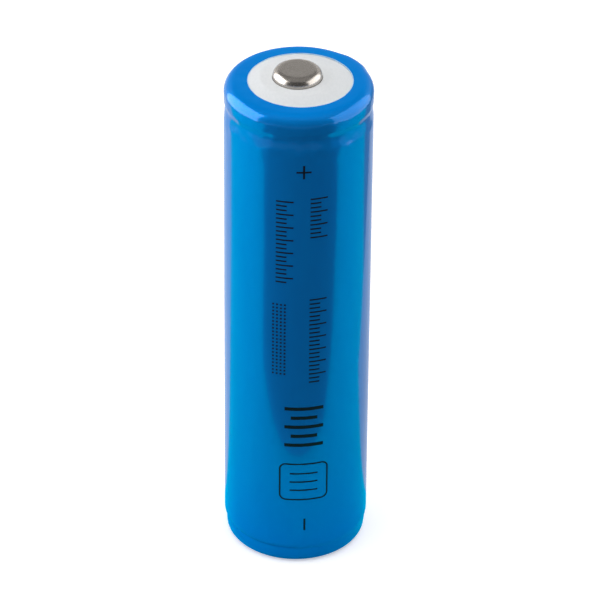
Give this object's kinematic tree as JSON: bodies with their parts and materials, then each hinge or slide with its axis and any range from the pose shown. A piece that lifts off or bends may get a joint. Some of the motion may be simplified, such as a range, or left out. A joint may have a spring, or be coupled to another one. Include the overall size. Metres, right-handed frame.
{
  "type": "rechargeable battery cell",
  "caption": "Round rechargeable battery cell in a glossy shrink sleeve, with a raised metal button on a white ring at the positive end and a flat contact at the other.",
  "frame": {"origin": "centre of the negative contact's flat face, which is the lowest point of the cell", "axes": "+Z along the cell's axis from the negative contact to the positive button; -Y towards the printed side of the sleeve; the positive strip's ridge lies 38 degrees from +X towards +Y"},
  "size_m": [0.0185, 0.0184, 0.0689],
  "materials": {
    "outer_sleeve": "gloss",
    "top_insulating_washer": "matte",
    "positive_button": "satin",
    "positive_strip": "satin",
    "strip_tape": "satin",
    "steel_can": "satin",
    "crimp_gasket": "matte",
    "positive_cap": "satin",
    "thermistor_ring": "matte",
    "vent_disc": "satin",
    "vent_gasket": "matte",
    "vent_weld_plate": "satin",
    "inner_separator": "matte",
    "outer_separator": "matte",
    "cathode_foil": "matte",
    "anode_foil": "matte",
    "roll_tape": "satin",
    "centre_pin": "satin",
    "positive_tab": "satin",
    "upper_insulator": "matte",
    "negative_tab": "satin",
    "lower_insulator": "matte",
    "can_base_insulator": "matte",
    "negative_strip": "satin",
    "protection_board": "satin",
    "board_pads": "satin",
    "board_spacer": "matte",
    "switch_chip": "matte",
    "guard_chip": "matte",
    "chip_leads": "satin",
    "chip_resistors": "satin",
    "chip_capacitors": "satin",
    "solder_joints": "satin",
    "negative_contact": "satin"
  },
  "bodies": {
    "root": {"outer_sleeve": "outer_sleeve", "top_insulating_washer": "top_insulating_washer", "positive_button": "positive_button", "positive_strip": "positive_strip", "strip_tape": "strip_tape", "steel_can": "steel_can", "crimp_gasket": "crimp_gasket", "positive_cap": "positive_cap", "thermistor_ring": "thermistor_ring", "vent_disc": "vent_disc", "vent_gasket": "vent_gasket", "vent_weld_plate": "vent_weld_plate", "inner_separator": "inner_separator", "outer_separator": "outer_separator", "cathode_foil": "cathode_foil", "anode_foil": "anode_foil", "roll_tape": "roll_tape", "centre_pin": "centre_pin", "positive_tab": "positive_tab", "upper_insulator": "upper_insulator", "negative_tab": "negative_tab", "lower_insulator": "lower_insulator", "can_base_insulator": "can_base_insulator", "negative_strip": "negative_strip", "protection_board": "protection_board", "board_pads": "board_pads", "board_spacer": "board_spacer", "switch_chip": "switch_chip", "guard_chip": "guard_chip", "chip_resistors": "chip_resistors", "chip_capacitors": "chip_capacitors", "solder_joints": "solder_joints", "negative_contact": "negative_contact", "switch_chip_leads": "chip_leads", "guard_chip_leads": "chip_leads"}
  },
  "joints": []
}
